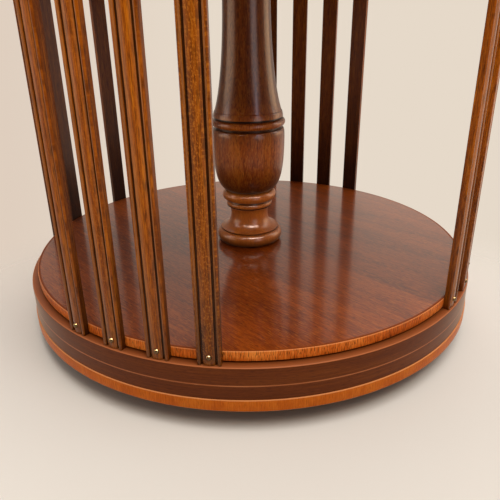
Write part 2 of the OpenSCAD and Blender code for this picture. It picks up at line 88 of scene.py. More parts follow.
# Wood: a broad figure, fine streaks along the grain, flecks and open pores, on some under French polish.
# Real pores and streaks are about 0.2 mm wide and would not show, so they are drawn up to 2.5 mm wide
def woodFinish(own):
    look = {**plainWood, **own}
    material = bpy.data.materials.new(look["name"])
    material.use_nodes = True
    tree = material.node_tree
    tree.nodes.clear()
    coords = addNode(tree, "ShaderNodeTexCoord", {}, {}).outputs[look["coords"]]
    noise = {}
    for layer, detail in look["detail"].items():  # look[layer] is a size in mm along the pattern's three axes
        place = addNode(tree, "ShaderNodeMapping", {"vector_type": "TEXTURE"}, {
            "Vector": coords, "Rotation": (0, 0, math.radians(look["turn"])),
            "Scale": [size * mm for size in look[layer]]})
        noise[layer] = addNode(tree, "ShaderNodeTexNoise", {}, {
            "Vector": place.outputs["Vector"], "Scale": 1, "Detail": detail, "Roughness": look["noiseRough"],
            "Distortion": look["swirl"] if layer == "figure" else 0}).outputs["Fac"]
    tone = addNode(tree, "ShaderNodeMix", {"data_type": "FLOAT"}, {
        "Factor": look["streakShare"], "A": noise["figure"], "B": noise["streak"]}).outputs[0]
    colour = addNode(tree, "ShaderNodeValToRGB", {"stops": look["stops"]}, {"Fac": tone}).outputs["Color"]
    share = {}
    for layer in ("pore", "fleck"):
        edge = look[layer + "Edge"]
        share[layer] = addNode(tree, "ShaderNodeMapRange", {}, {
            "Value": noise[layer], "From Min": edge[0], "From Max": edge[1],
            "To Min": 0, "To Max": look[layer + "Depth"]}).outputs["Result"]
    if "fleckFrom" in look:  # some boards of a set are speckled more than others
        speckled = addNode(tree, "ShaderNodeAttribute", {"attribute_name": look["fleckFrom"]}, {})
        share["fleck"] = addNode(tree, "ShaderNodeMath", {"operation": "MULTIPLY"}, {
            0: share["fleck"], 1: speckled.outputs["Fac"]}).outputs[0]
    tints = [(share[layer], look[layer + "Colour"]) for layer in ("fleck", "pore")]
    for mark in look["marks"]:  # wear and painted highlight on arrises, painted light, stain and painted shade
        amount = addNode(tree, "ShaderNodeAttribute", {"attribute_name": mark["from"]}, {})
        strength = addNode(tree, "ShaderNodeMath", {"operation": "MULTIPLY", "use_clamp": True}, {
            0: amount.outputs["Fac"], 1: mark["amount"]})
        tints.append((strength.outputs[0], mark["colour"]))
    for strength, tint in tints:
        colour = addNode(tree, "ShaderNodeMix", {"data_type": "RGBA"}, {
            "Factor": strength, mixA: colour, mixB: toLinear(tint)}).outputs[mixOut]
    rough = addNode(tree, "ShaderNodeMapRange", {}, {
        "Value": noise["streak"], "To Min": look["rough"][0], "To Max": look["rough"][1]})
    grainBump = addNode(tree, "ShaderNodeBump", {"invert": True}, {
        "Strength": look["poreBump"], "Distance": look["poreHeight"] * mm, "Height": share["pore"]})
    polishBump = addNode(tree, "ShaderNodeBump", {}, {
        "Strength": look["rippleBump"], "Distance": look["rippleHeight"] * mm, "Height": noise["ripple"]})
    shader = addNode(tree, "ShaderNodeBsdfPrincipled", {}, {
        "Base Color": colour, "Roughness": rough.outputs["Result"], "IOR": look["ior"],
        "Normal": grainBump.outputs["Normal"], "Specular IOR Level": look["specular"],
        "Coat Weight": look["coat"], "Coat Roughness": look["coatRough"], "Coat IOR": look["coatIor"],
        "Coat Normal": polishBump.outputs["Normal"], "Sheen Weight": look["sheen"],
        "Sheen Roughness": look["sheenRough"], "Sheen Tint": toLinear(look["sheenTint"])})
    addNode(tree, "ShaderNodeOutputMaterial", {}, {"Surface": shader.outputs["BSDF"]})
    return material


# Mahogany veneer, knife-cut and French polished: fine straight flecks, deep red-brown, mirrors at a low angle
shelfVeneer = woodFinish({
    "name": "mahoganyVeneerFrenchPolished", "coords": "Object", "turn": -68,
    "figure": (180, 30, 30), "streak": (26, 1.5, 1.5), "pore": (5, 0.8, 0.8),
    "fleck": (9, 1.1, 1.1), "ripple": (60, 40, 40), "swirl": 0.5, "streakShare": 0.5,
    "stops": [(0.34, "#622304"), (0.5, "#873806"), (0.66, "#a74e0c")],
    "poreEdge": (0.54, 0.68), "poreDepth": 0.6, "poreColour": "#4a1706", "poreBump": 0.25,
    "fleckEdge": (0.53, 0.68), "fleckDepth": 0.5, "fleckColour": "#b8641a",
    "rough": (0.3, 0.42), "specular": 0.1, "coat": 1.0, "coatRough": 0.13, "coatIor": 1.48,
})

# Mahogany veneer bent round the drum: the grain runs round. Its colour is set darker than the shelf's, as
# painted shade for a drum that stands in its own shade
plinthVeneer = woodFinish({
    "name": "mahoganyVeneerBent", "coords": "UV", "turn": 0,
    "figure": (260, 14, 14), "streak": (50, 1.3, 1.3), "pore": (7, 0.7, 0.7),
    "fleck": (10, 1, 1), "ripple": (90, 40, 40), "swirl": 0.3, "streakShare": 0.45,
    "stops": [(0.28, "#512206"), (0.5, "#652e08"), (0.72, "#783c0c")],
    "poreEdge": (0.56, 0.72), "poreDepth": 0.5, "poreColour": "#340f06", "poreBump": 0.12,
    "fleckEdge": (0.58, 0.75), "fleckDepth": 0.3, "fleckColour": "#8a4520",
    # Paler ledge and arris: painted light and painted highlight, partly wear
    "marks": [{"from": "wear", "amount": 0.9, "colour": "#bb6c3e"}],
    "rough": (0.34, 0.46), "specular": 0.12, "sheen": 0.3,
})

# Mahogany turned between centres: the figure is cut into long ovals, and the rounds carry bright streaks
turnedMahogany = woodFinish({
    "name": "mahoganyTurned", "coords": "Object", "turn": 0,
    "figure": (16, 16, 140), "streak": (1.6, 1.6, 26), "pore": (1.2, 1.2, 5),
    "fleck": (1.6, 1.6, 7), "ripple": (30, 30, 60), "swirl": 0.8, "streakShare": 0.45,
    "stops": [(0.34, "#753006"), (0.5, "#a04d0d"), (0.66, "#be6a19")],
    "poreEdge": (0.52, 0.66), "poreDepth": 0.45, "poreColour": "#3a1408", "poreBump": 0.12,
    "fleckEdge": (0.52, 0.66), "fleckDepth": 0.4, "fleckColour": "#d08030",
    # Painted light makes the foot, waist and ring paler; painted shade darkens the quirks, the undersides of
    # the mouldings and the shaft
    "marks": [{"from": "wear", "amount": 0.55, "colour": "#dc8034"},
              {"from": "grime", "amount": 0.96, "colour": "#120502"}],
    "rough": (0.3, 0.42), "rippleBump": 0.1,
    "specular": 0.05, "coat": 0.55, "coatRough": 0.21, "coatIor": 1.48, "sheen": 0.12,
})

# Satinwood crossbanding: short strips with the grain across the band, orange under the polish
satinwood = {
    "name": "satinwoodCrossband", "coords": "UV", "turn": 90,
    "figure": (40, 22, 22), "streak": (24, 1.0, 1.0), "pore": (6, 0.8, 0.8),
    "fleck": (7, 1.0, 1.0), "ripple": (40, 30, 30), "swirl": 0.2, "streakShare": 0.5,
    "stops": [(0.28, "#ac4e0c"), (0.5, "#c46012"), (0.72, "#d47820")],
    "poreEdge": (0.54, 0.7), "poreDepth": 0.4, "poreColour": "#843406", "poreBump": 0.1,
    "fleckEdge": (0.56, 0.72), "fleckDepth": 0.3, "fleckColour": "#dd8c3c",
    # Paler arrises on the foot band and the shelf edges: partly wear, partly painted highlight
    "marks": [{"from": "wear", "amount": 0.6, "colour": "#dc9660"}],
    "rough": (0.32, 0.44), "specular": 0.08, "sheen": 0.1,
}
satinwoodBand = woodFinish(satinwood)

# The same wood on the shelf edges, handled for longer: light and dark stretches, dark pores like short cracks
satinwoodEdge = woodFinish({
    **satinwood, "name": "satinwoodEdgeHandled", "figure": (40, 60, 60), "streakShare": 0.45,
    "stops": [(0.34, "#8c360c"), (0.5, "#d26418"), (0.66, "#f0923c")],
    "poreEdge": (0.55, 0.65), "poreDepth": 0.8, "poreColour": "#4e1c04",
    "marks": satinwood["marks"] + [{"from": "grime", "amount": 0.95, "colour": "#7c3408"}],
})

# Boxwood line, planed and let in: nearly even, pale orange under the polish
boxwoodLine = woodFinish({
    "name": "boxwoodLineInlaid", "coords": "UV", "turn": 0,
    "figure": (80, 4, 4), "streak": (40, 0.6, 0.6), "pore": (5, 0.5, 0.5),
    "fleck": (8, 0.8, 0.8), "ripple": (60, 30, 30), "swirl": 0, "streakShare": 0.5,
    "detail": {**plainWood["detail"], "figure": 2, "streak": 2},
    "stops": [(0.3, "#8e4a20"), (0.5, "#a65e32"), (0.7, "#b87042")],
    "poreEdge": (0.6, 0.75), "poreDepth": 0.3, "poreColour": "#84441f", "poreBump": 0.08,
    "fleckEdge": (0.6, 0.75), "fleckDepth": 0.3, "fleckColour": "#d39a66",
    "rough": (0.34, 0.42), "rippleBump": 0.15, "specular": 0.15,
})

# Mahogany slats, moulded with a scratch stock: golden brown on the reed. Painted shade makes the two quirks
# black and darkens the backs, sides and foot; painted highlights lie on the reed and bead edges
slatMahogany = woodFinish({
    "name": "mahoganySlatMoulded", "coords": "UV", "turn": 90,
    "figure": (90, 5, 5), "streak": (26, 0.9, 0.9), "pore": (12, 0.8, 0.8),
    "fleck": (2.2, 1.3, 1.3), "ripple": (60, 12, 12), "swirl": 0.5, "streakShare": 0.5,
    "detail": {**plainWood["detail"], "fleck": 3},
    "stops": [(0.32, "#622a03"), (0.5, "#a65105"), (0.68, "#d3780c")],
    "poreEdge": (0.5, 0.64), "poreDepth": 0.6, "poreColour": "#4e2204", "poreBump": 0.15,
    "fleckEdge": (0.5, 0.6), "fleckDepth": 0.95, "fleckColour": "#cc7518", "fleckFrom": "speckle",
    "marks": [{"from": "wear", "amount": 0.8, "colour": "#c88c58"},
              {"from": "grime", "amount": 0.95, "colour": "#1e0e05"}],
    "rough": (0.34, 0.46), "rippleBump": 0.15,
    "specular": 0.03, "coat": 1.0, "coatRough": 0.24, "coatIor": 1.27,
})

# Deck board inside the plinth, sawn and oiled: duller and paler than the polished faces
deckWood = woodFinish({
    "name": "mahoganyBoardOiled", "coords": "Object", "turn": 20,
    "figure": (200, 30, 30), "streak": (60, 2.5, 2.5), "pore": (8, 0.9, 0.9),
    "fleck": (12, 1.5, 1.5), "ripple": (60, 40, 40), "swirl": 0.5, "streakShare": 0.5,
    "stops": [(0.3, "#552a15"), (0.5, "#6f3c20"), (0.7, "#865030")],
    "poreEdge": (0.56, 0.72), "poreDepth": 0.5, "poreColour": "#3a1a0c", "poreBump": 0.3,
    "fleckEdge": (0.58, 0.75), "fleckDepth": 0.3, "fleckColour": "#a06a42",
    "rough": (0.55, 0.7), "specular": 0.4,
})


# What the metals share
plainMetal = {"noiseDetail": 3, "noiseRough": 0.6, "markHeight": 0.1}


# Metal: a base tone, tarnish in patches, and marks left by casting, turning or grinding, drawn coarse to show
def metalFinish(own):
    look = {**plainMetal, **own}
    material = bpy.data.materials.new(look["name"])
    material.use_nodes = True
    tree = material.node_tree
    tree.nodes.clear()
    coords = addNode(tree, "ShaderNodeTexCoord", {}, {}).outputs["Object"]
    noise = {}
    for layer in ("patch", "mark"):  # look[layer] is a size in mm
        place = addNode(tree, "ShaderNodeMapping", {"vector_type": "TEXTURE"}, {
            "Vector": coords, "Scale": [size * mm for size in look[layer]]})
        noise[layer] = addNode(tree, "ShaderNodeTexNoise", {}, {
            "Vector": place.outputs["Vector"], "Scale": 1, "Detail": look["noiseDetail"],
            "Roughness": look["noiseRough"]}).outputs["Fac"]
    colour = addNode(tree, "ShaderNodeValToRGB", {"stops": look["stops"]}, {"Fac": noise["patch"]})
    rough = addNode(tree, "ShaderNodeMapRange", {}, {
        "Value": noise["patch"], "To Min": look["rough"][0], "To Max": look["rough"][1]})
    bump = addNode(tree, "ShaderNodeBump", {}, {
        "Strength": look["markBump"], "Distance": look["markHeight"] * mm, "Height": noise["mark"]})
    shader = addNode(tree, "ShaderNodeBsdfPrincipled", {}, {
        "Base Color": colour.outputs["Color"], "Metallic": 1.0, "Roughness": rough.outputs["Result"],
        "Normal": bump.outputs["Normal"]})
    addNode(tree, "ShaderNodeOutputMaterial", {}, {"Surface": shader.outputs["BSDF"]})
    return material


# Brass pins, stamped and polished, toned brown by age: dark at the rim, a small sharp light on each dome
pinBrass = metalFinish({
    "name": "brassStampedPolished", "patch": (3, 3, 3), "mark": (0.5, 0.5, 0.5), "markBump": 0.1,
    "stops": [(0.3, "#54422c"), (0.7, "#86704e")], "rough": (0.17, 0.26),
})

# Brass castings of the castors and the bushes: dull golden brown, slightly grainy
castBrass = metalFinish({
    "name": "brassCastToned", "patch": (9, 9, 9), "mark": (1.2, 1.2, 1.2), "markBump": 0.25,
    "stops": [(0.3, "#6f5228"), (0.7, "#a98546")], "rough": (0.32, 0.55),
})

# Wrought iron spindle, flange and wheels, turned and blackened: nearly black with worn grey patches
blackIron = metalFinish({
    "name": "ironTurnedBlackened", "patch": (14, 14, 14), "mark": (1.5, 1.5, 0.6), "markBump": 0.3,
    "stops": [(0.3, "#2a2827"), (0.75, "#5a5652")], "rough": (0.38, 0.6),
})

# Steel balls, races, axles and screws, ground bright: clean grey with a fine turned lay
groundSteel = metalFinish({
    "name": "steelGround", "patch": (6, 6, 6), "mark": (0.8, 0.8, 0.3), "markBump": 0.1,
    "stops": [(0.3, "#8b8884"), (0.7, "#b5b2ae")], "rough": (0.2, 0.36),
})

for finish, words in (  # solids that show as they are. A word that ends in _ stands for a set
    (deckWood, ("plinth_deck",)),
    (blackIron, ("spindle", "spindle_flange", "spindle_nut", "castor_wheel_")),
    (groundSteel, (
        "flange_screws", "lower_race", "upper_race", "bearing_balls", "castor_axle_", "top_screws")),
    (castBrass, (
        "ball_cage", "lower_bush", "upper_bush", "castor_plate_", "castor_fork_", "castor_screws")),
):
    for name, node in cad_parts.items():
        if name in words or any(word.endswith("_") and name.startswith(word) for word in words):
            node.data.materials.clear()
            node.data.materials.append(finish)
print("finishes made:", len(bpy.data.materials))

mesher = {"mergeWithin": 0.001, "sharp": 34}  # mm, degrees


# A finished bmesh becomes a named piece that stands for its solids and rides on their body
def finishPiece(bm, piece):
    bmesh.ops.remove_doubles(bm, verts=bm.verts, dist=mesher["mergeWithin"] * mm)
    bmesh.ops.recalc_face_normals(bm, faces=bm.faces)
    mesh = bpy.data.meshes.new(piece["name"])
    bm.to_mesh(mesh)
    bm.free()
    mesh.materials.append(piece["finish"])
    mesh.shade_smooth()
    mesh.set_sharp_from_angle(angle=math.radians(piece.get("sharp", mesher["sharp"])))
    thing = bpy.data.objects.new(piece["name"], mesh)
    scene.collection.objects.link(thing)
    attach(thing, piece["body"])
    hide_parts(*piece["nodes"])
    return thing


# Outline helpers: (radius, height) points in mm
def roundCorner(r, z, size, start, end, steps=5):
    turns = [math.radians(start + (end - start) * k / steps) for k in range(steps + 1)]
    return [(r + size * math.cos(a), z + size * math.sin(a)) for a in turns]


def bead(low, high, r, crest, steps=20):
    turns = [math.pi * k / steps for k in range(steps + 1)]
    return [(r + (crest - r) * math.sin(a), (low + high) / 2 - (high - low) / 2 * math.cos(a)) for a in turns]


def sweepCurve(a, b, c, d, steps=26):
    points = []
    for k in range(steps + 1):
        t = k / steps
        s = 1 - t
        points.append(tuple(
            s ** 3 * p + 3 * s * s * t * q + 3 * s * t * t * u + t ** 3 * v
            for p, q, u, v in zip(a, b, c, d)))
    return points


# Spins outlines about the axis. UVs are metres: round the drum and along the outline
def turnPiece(piece):
    bm = bmesh.new()
    along, wear, grime = (bm.verts.layers.float.new(name) for name in ("along", "wear", "grime"))
    for outline in piece["outlines"]:
        verts = []
        run = 0
        for k, (r, z) in enumerate(outline):
            run += math.dist(outline[k], outline[k - 1]) if k else 0
            vert = bm.verts.new((r * mm, 0, z * mm))
            vert[along] = run * mm
            vert[wear] = piece["wearAndLightAt"](r, z) if "wearAndLightAt" in piece else 0
            vert[grime] = piece["stainAndShadeAt"](r, z) if "stainAndShadeAt" in piece else 0
            verts.append(vert)
        edges = [bm.edges.new((verts[k - 1], verts[k])) for k in range(len(verts))]
        bmesh.ops.spin(bm, geom=verts + edges, cent=(0, 0, 0), axis=(0, 0, 1), angle=2 * math.pi,
                       steps=piece.get("facets", case["facets"]), use_merge=True, use_duplicate=False)
    uv = bm.loops.layers.uv.new("UVMap")
    girth = max(r for r, z in piece["outlines"][0]) * mm
    for face in bm.faces:
        middle = face.calc_center_median()
        facing = math.atan2(middle.y, middle.x)
        for loop in face.loops:
            angle = math.atan2(loop.vert.co.y, loop.vert.co.x)
            angle += 2 * math.pi * round((facing - angle) / (2 * math.pi))
            loop[uv].uv = (angle * girth, loop.vert[along])
    return finishPiece(bm, piece)


# Plinth: a drum wall with rebates for the foot band and the line
plinth = {
    "bandHigh": 33.4, "lineLow": 46.6, "lineHigh": 47.8, "inlayR": 248.4, "round": 1.5, "roundSteps": 8,
    "bandR": 251.0, "bandRound": 0.8, "bandSeat": 1.0, "arrisDeep": 0.7, "topArrisLight": 1.0, "lowArrisLight": 0.5,
    "lightFrom": 241.5, "lightRing": 242.5, "lightOver": 12.0,  # painted light: the ledge gets paler outwards, away from the shade under the shelf edge
}
wallR, inR, inlayR = case["plinthR"], case["plinthInR"], plinth["inlayR"]
footZ, ledgeZ = case["plinthLow"], case["ledge"]
bandHigh, lineLow, lineHigh = plinth["bandHigh"], plinth["lineLow"], plinth["lineHigh"]
ledgeRound = roundCorner(
    wallR - plinth["round"], ledgeZ - plinth["round"], plinth["round"], 0, 90, plinth["roundSteps"])
ledgeArris = ledgeRound[3:6]  # middle of the round


def ledgeWearAndLight(r, z):  # painted highlight most on the arris, partly wear, and painted light paler outwards
    if z < ledgeArris[0][1]:
        return 0.0
    if (r, z) in ledgeArris:
        return 1.0
    return max(0.0, (r - plinth["lightFrom"]) / plinth["lightOver"])


def footBandWearAndLight(r, z):  # painted highlight on both arrises, most on the upper, partly wear
    if r < inlayR + plinth["bandSeat"]:
        return 0.0
    if z > bandHigh - plinth["arrisDeep"]:
        return plinth["topArrisLight"]
    return plinth["lowArrisLight"] if z < footZ + plinth["arrisDeep"] else 0.0


turnPiece({
    "name": "plinthDrum", "body": "plinth", "nodes": ("plinth_wall",),
    "slot": "mahogany", "finish": plinthVeneer, "wearAndLightAt": ledgeWearAndLight,
    "outlines": [[
        (inR, footZ), (inlayR, footZ), (inlayR, bandHigh), (wallR, bandHigh),
        (wallR, lineLow), (inlayR, lineLow), (inlayR, lineHigh), (wallR, lineHigh),
        *ledgeRound, (plinth["lightRing"], ledgeZ), (inR, ledgeZ)]],
})
bandRound = plinth["bandRound"]
bandR = plinth["bandR"] - bandRound
turnPiece({
    "name": "footCrossband", "body": "plinth", "nodes": ("plinth_crossband",),
    "slot": "satinwood", "finish": satinwoodBand, "wearAndLightAt": footBandWearAndLight,
    "outlines": [[
        (inlayR, footZ), *roundCorner(bandR, footZ + bandRound, bandRound, -90, 0),
        *roundCorner(bandR, bandHigh - bandRound, bandRound, 0, 90), (inlayR, bandHigh)]],
})
turnPiece({
    "name": "plinthLine", "body": "plinth", "nodes": ("plinth_string",),
    "slot": "boxwood", "finish": boxwoodLine,
    "outlines": [[(inlayR, lineLow), (wallR, lineLow), (wallR, lineHigh), (inlayR, lineHigh)]],
})
print("plinth turned")

# Shelves: a veneered board in each tier, with a satinwood band round its edge
shelf = {"round": 0.8, "arrisDeep": 0.7, "arrisLight": 0.7}
boardR, spigotR = case["boardR"], case["spigotR"]
edgeR = case["shelfR"] - shelf["round"]
passedBy = bpy.data.collections.new("passedByFill")  # boards and columns: the low fill lamp leaves these out
for name in ("lower", "middle", "top"):
    low, high = case[name + "Shelf"]
    passedBy.objects.link(turnPiece({
        "name": name + "ShelfBoard", "body": "case", "nodes": (name + "_shelf",),
        "slot": "mahogany", "finish": shelfVeneer,
        "outlines": [[(spigotR, low), (boardR, low), (boardR, high), (spigotR, high)]],
    }))
    turnPiece({
        "name": name + "ShelfEdge", "body": "case", "nodes": (name + "_shelf_band",),
        "slot": "satinwood", "finish": satinwoodEdge,
        "outlines": [[
            (boardR, low), *roundCorner(edgeR, low + shelf["round"], shelf["round"], -90, 0),
            *roundCorner(edgeR, high - shelf["round"], shelf["round"], 0, 90), (boardR, high)]],
        # painted highlight on the band's top arris, partly wear
        "wearAndLightAt": lambda r, z, edge=high: shelf["arrisLight"] if edge - shelf["arrisDeep"] < z < edge else 0.0,
        "stainAndShadeAt": lambda r, z, edge=high: 1.0 if z == edge else 0.0,  # stained with the board on top
    })
print("shelves made")

# Columns: foot, waist, ring, vase, collar, shaft and cap turned from one piece for each tier
column = {
    "foot": 38.0, "waist": 21.5, "ring": 31.0, "vase": 40.6, "collar": 41.1, "shaft": 24.7,
    "bore": 9.0, "grooveIn": 5.0, "facets": 112, "footLightTo": 62, "footLight": 0.8, "creaseSpread": 1.9,
    "lower": ("lowerShelf", 7.2, 4.75),  # shelf that it stands on, spigot below, spigot above
    "upper": ("middleShelf", 4.75, 8.0),
}
foot, waist, ring, vase, collar, shaft = (
    column[key] for key in ("foot", "waist", "ring", "vase", "collar", "shaft"))
grooveIn, bore = column["grooveIn"], column["bore"]
tall = case["tier"]
columnOutline = [
    *bead(0.6, 15, foot - 5, foot),  # torus of the foot
    (foot - 4.5, 15.8),
    *sweepCurve((foot - 4.5, 17), (foot - 12, 18.5), (waist, 24), (waist, 33)),  # hollow up to the waist
    *sweepCurve((waist, 34), (waist, 39), (waist + 1, 42), (waist + 4.5, 43), 12),
    *bead(43.6, 48.4, ring - 6, ring - 4.5, 10),  # small ring
    (ring - 6.2, 49), (ring - 6.2, 50.2),
    *bead(50.6, 61.8, ring - 5, ring),  # ring
    (ring - 5, 63),
    *sweepCurve((vase - 13.1, 63.2), (vase - 3.6, 68), (vase + 0.2, 88), (vase, 124)),  # vase
    *sweepCurve((vase, 125), (vase, 129), (vase - 0.4, 131.4), (vase - 1.6, 132.4), 8),  # its lip
    (vase - grooveIn, 133), (vase - grooveIn, 134.8),
    *bead(135.2, 143, collar - 3.5, collar, 14),  # collar
    (collar - grooveIn, 143.4), (collar - grooveIn, 144.8),
    # Flared shaft
    *sweepCurve((collar - 2.4, 145.2), (collar - 2.5, 148), (collar - 3.2, 150), (collar - 3.6, 151.2), 8),
    *sweepCurve((collar - 4.2, 151.6), (collar - 9.3, 167), (shaft + 0.7, 206), (shaft, tall - 32), 40),
    *bead(tall - 31, tall - 25, shaft, shaft + 3, 12),  # neck ring
    *sweepCurve((shaft, tall - 24), (shaft, tall - 19), (foot - 10, tall - 17), (foot - 4.5, tall - 16), 16),
    (foot - 4.5, tall - 14.6),
    *bead(tall - 14, tall - 0.6, foot - 5, foot),  # cap
]
creases = [  # painted shade in the quirks: height and width
    (15.8, 0.6), (43.3, 0.5), (49.6, 0.8), (63.1, 0.9), (133.9, 0.9), (144.1, 0.8),
    (tall - 31.5, 0.6), (tall - 24.5, 0.6), (tall - 15.2, 0.6)]
shadeBands = [  # painted shade under each moulding, at the vase's foot and up the shaft: height and depth
    (-20, 0.95), (0.5, 0.95), (4.5, 0.72), (8, 0.42), (11, 0.12), (36, 0.12), (43, 0.4), (47, 0),
    (49, 0.1), (50.6, 0.6), (55, 0.15), (57, 0), (62, 0), (64, 0.9), (78, 0.62), (94, 0.25), (106, 0),
    (118, 0.08), (132, 0.5), (139, 0.2), (150, 0.5), (165, 0.7), (tall + 20, 0.7)]


def columnShade(z):
    bandShade = next(a + (b - a) * (z - low) / (high - low)
                 for (low, a), (high, b) in zip(shadeBands, shadeBands[1:]) if z <= high)
    creaseShade = max(column["creaseSpread"] - abs(z - crease) / width for crease, width in creases)
    return max(bandShade, min(1.0, creaseShade))


polished = bpy.data.collections.new("polishedPieces")  # columns and pins, which have lamps of their own
for name in ("lower", "upper"):
    stand, lowSpigot, highSpigot = column[name]
    base = case[stand][1]
    turned = turnPiece({
        "name": name + "Column", "body": "case", "nodes": (name + "_column",),
        "slot": "mahogany", "finish": turnedMahogany, "facets": column["facets"],
        "outlines": [[
            (bore, base - lowSpigot), (spigotR, base - lowSpigot), (spigotR, base),
            *((r, base + z) for r, z in columnOutline),
            (spigotR, base + tall), (spigotR, base + tall + highSpigot), (bore, base + tall + highSpigot)]],
        # painted shade in the quirks, under the mouldings and up the shaft
        "stainAndShadeAt": lambda r, z, base=base: columnShade(z - base),
        # painted light on the foot, waist and ring
        "wearAndLightAt": lambda r, z, base=base: column["footLight"] if 0 < z - base < column["footLightTo"] else 0.0,
    })
    polished.objects.link(turned)
    passedBy.objects.link(turned)
print("columns turned")

# Top: veneered board with a crossband between two lines
top = {
    "r": 254.92, "round": 6.0, "roundSteps": 12, "underRound": 3.0, "underSteps": 8,
    "bandIn": 213.0, "bandOut": 239.0, "line": 1.2, "inlay": 1.6,
}
low, high = case["topBoard"]
upper, under = top["round"], top["underRound"]
inlayZ = high - top["inlay"]
lineIn, lineOut = top["bandIn"] - top["line"], top["bandOut"] + top["line"]
passedBy.objects.link(turnPiece({
    "name": "topBoardVeneered", "body": "case", "nodes": ("top_board",),
    "slot": "mahogany", "finish": shelfVeneer,
    "outlines": [[
        (0, low), *roundCorner(top["r"] - under, low + under, under, -90, 0, top["underSteps"]),
        *roundCorner(top["r"] - upper, high - upper, upper, 0, 90, top["roundSteps"]),
        (lineOut, high), (lineOut, inlayZ), (lineIn, inlayZ), (lineIn, high), (0, high)]],
}))
for name, node, slot, finish, rings in (
    ("topCrossband", "top_crossband", "satinwood", satinwoodBand, [(top["bandIn"], top["bandOut"])]),
    ("topLines", "top_strings", "boxwood", boxwoodLine, [(top["bandOut"], lineOut), (lineIn, top["bandIn"])]),
):
    turnPiece({
        "name": name, "body": "case", "nodes": (node,), "slot": slot, "finish": finish,
        "outlines": [[(inside, inlayZ), (outside, inlayZ), (outside, high), (inside, high)]
                     for inside, outside in rings],
    })
print("top made")

# Slats: one moulded section, run up past both shelves to the top. Marks in fours are for the four in a group
slat = {
    "count": 16, "group": 4, "pitch": 43.5, "seat": 242.55, "low": 65.6, "long": 639.7,
    "wide": 20.5, "thick": 6.0, "bead": 3.6, "quirk": 1.8, "quirkDeep": 2.4, "crown": 1.2,
    "backFlat": 0.4, "endRound": 0.3, "sharp": 50,
    "speckle": (0.25, 0.35, 0.25, 1.0), "leftSheen": (0.4, 0.6, 0.5, 0.2), "shade": (0.05, 0, 0, 0.18),
    "backShade": 0.6, "crestShade": 0.1, "leftSideShade": 0.15, "rightSideShade": 0.4, "innerShade": 0.15,
    "innerHighlight": 0.45, "innerDeep": 1.0, "quirkShade": 0.9, "lipShade": 0.55, "reedHighlight": 0.25,
    "footShade": 0.46, "shadeRuns": 170, "shadeFall": 1.5, "shadeCuts": (8, 40, 90, 170), "shadeMost": 0.95,
    "grainShift": (0.41, 1.7), "near": 0.2, "touch": 0.01,
}
slatStep = 2 * math.degrees(math.asin(slat["pitch"] / case["shelfR"] / 2))
groupMiddle = (slat["group"] - 1) / 2
slatAngles = [
    90 * (i // slat["group"] + 0.5) + slatStep * (i % slat["group"] - groupMiddle)
    for i in range(slat["count"])]
half, thick = slat["wide"] / 2, slat["thick"]
beadR, quirkR = slat["bead"] / 2, slat["quirk"] / 2
quirkX, quirkY = thick - slat["quirkDeep"] + quirkR, half - slat["bead"] - quirkR
reedHalf = half - slat["bead"] - slat["quirk"]
reedR = (reedHalf ** 2 + slat["crown"] ** 2) / (2 * slat["crown"])
reedTurn = math.degrees(math.asin(reedHalf / reedR))
halfSection = [
    (0, half), (slat["backFlat"], half), *roundCorner(thick - beadR, half - beadR, beadR, 90, -82, 10),
    *roundCorner(quirkX, quirkY, quirkR, 90, 270, 8), *roundCorner(thick - reedR, 0, reedR, reedTurn, 0, 8)]
section = halfSection + [(x, -y) for x, y in reversed(halfSection[:-1])]


def slatMarks(x, y, leftSheen):  # painted shade and painted highlight at a point of the section
    if x == 0:
        return slat["backShade"], 0  # painted shade on the backs, which face the shaded inside of the case
    if abs(y) > half - beadR:
        sideShade = slat["rightSideShade"] if y > 0 else slat["leftSideShade"]  # painted shade on the sides, deeper on one side than the other
        return slat["crestShade"] if x > thick - beadR + slat["near"] else sideShade, 0
    if abs(y) > half - slat["bead"]:  # painted highlight where the bead meets the quirk, slight painted shade on its inner wall
        return slat["innerShade"], slat["innerHighlight"] if x > thick - slat["innerDeep"] else 0
    if abs(y) > reedHalf + slat["touch"]:
        # painted shade in the quirk, less on its lips
        return slat["quirkShade"] if x < quirkX - slat["near"] else slat["lipShade"], 0
    if y < 0:
        return 0, leftSheen * abs(y) / reedHalf  # painted highlight, strongest at one edge of the reed
    # painted highlight along the reed's other edge
    return 0, max(0, slat["reedHighlight"] * (2 * y / reedHalf - 1))


